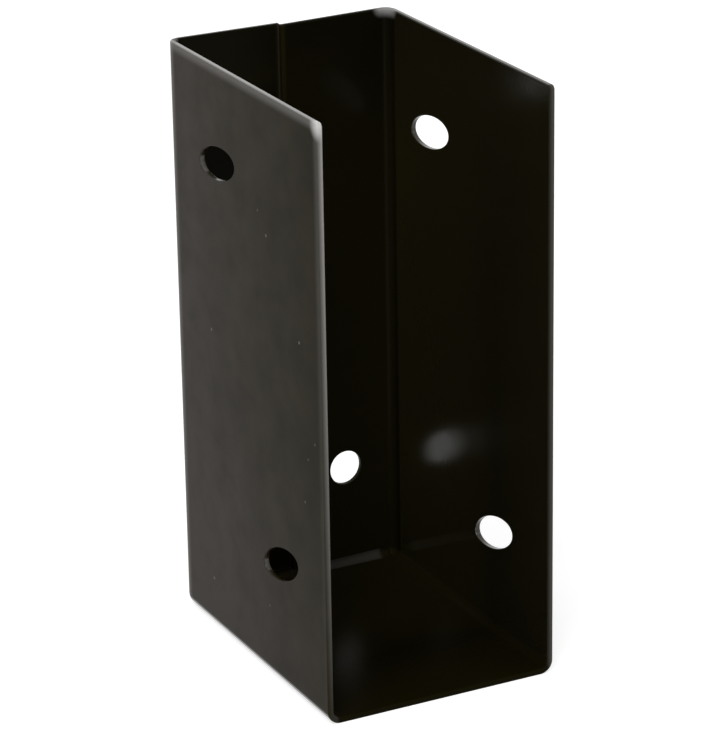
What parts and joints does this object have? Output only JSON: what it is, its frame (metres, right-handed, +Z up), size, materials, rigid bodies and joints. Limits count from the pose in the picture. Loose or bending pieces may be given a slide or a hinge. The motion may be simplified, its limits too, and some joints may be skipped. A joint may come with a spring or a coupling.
{
  "type": "u bracket",
  "caption": "Tall U-shaped rail bracket folded from black coated sheet steel, open in front and on top, with oval screw holes in its walls and round ones in the back flanges that lap at a seam.",
  "frame": {"origin": "centre of the bracket's footprint, on the surface that it stands on", "axes": "+Z up along the walls, +Y from the open front to the back flanges, +X across the width"},
  "size_m": [0.042, 0.056, 0.102],
  "materials": {
    "black_coat": "satin"
  },
  "bodies": {
    "root": {"u_bracket": "black_coat"}
  },
  "joints": []
}
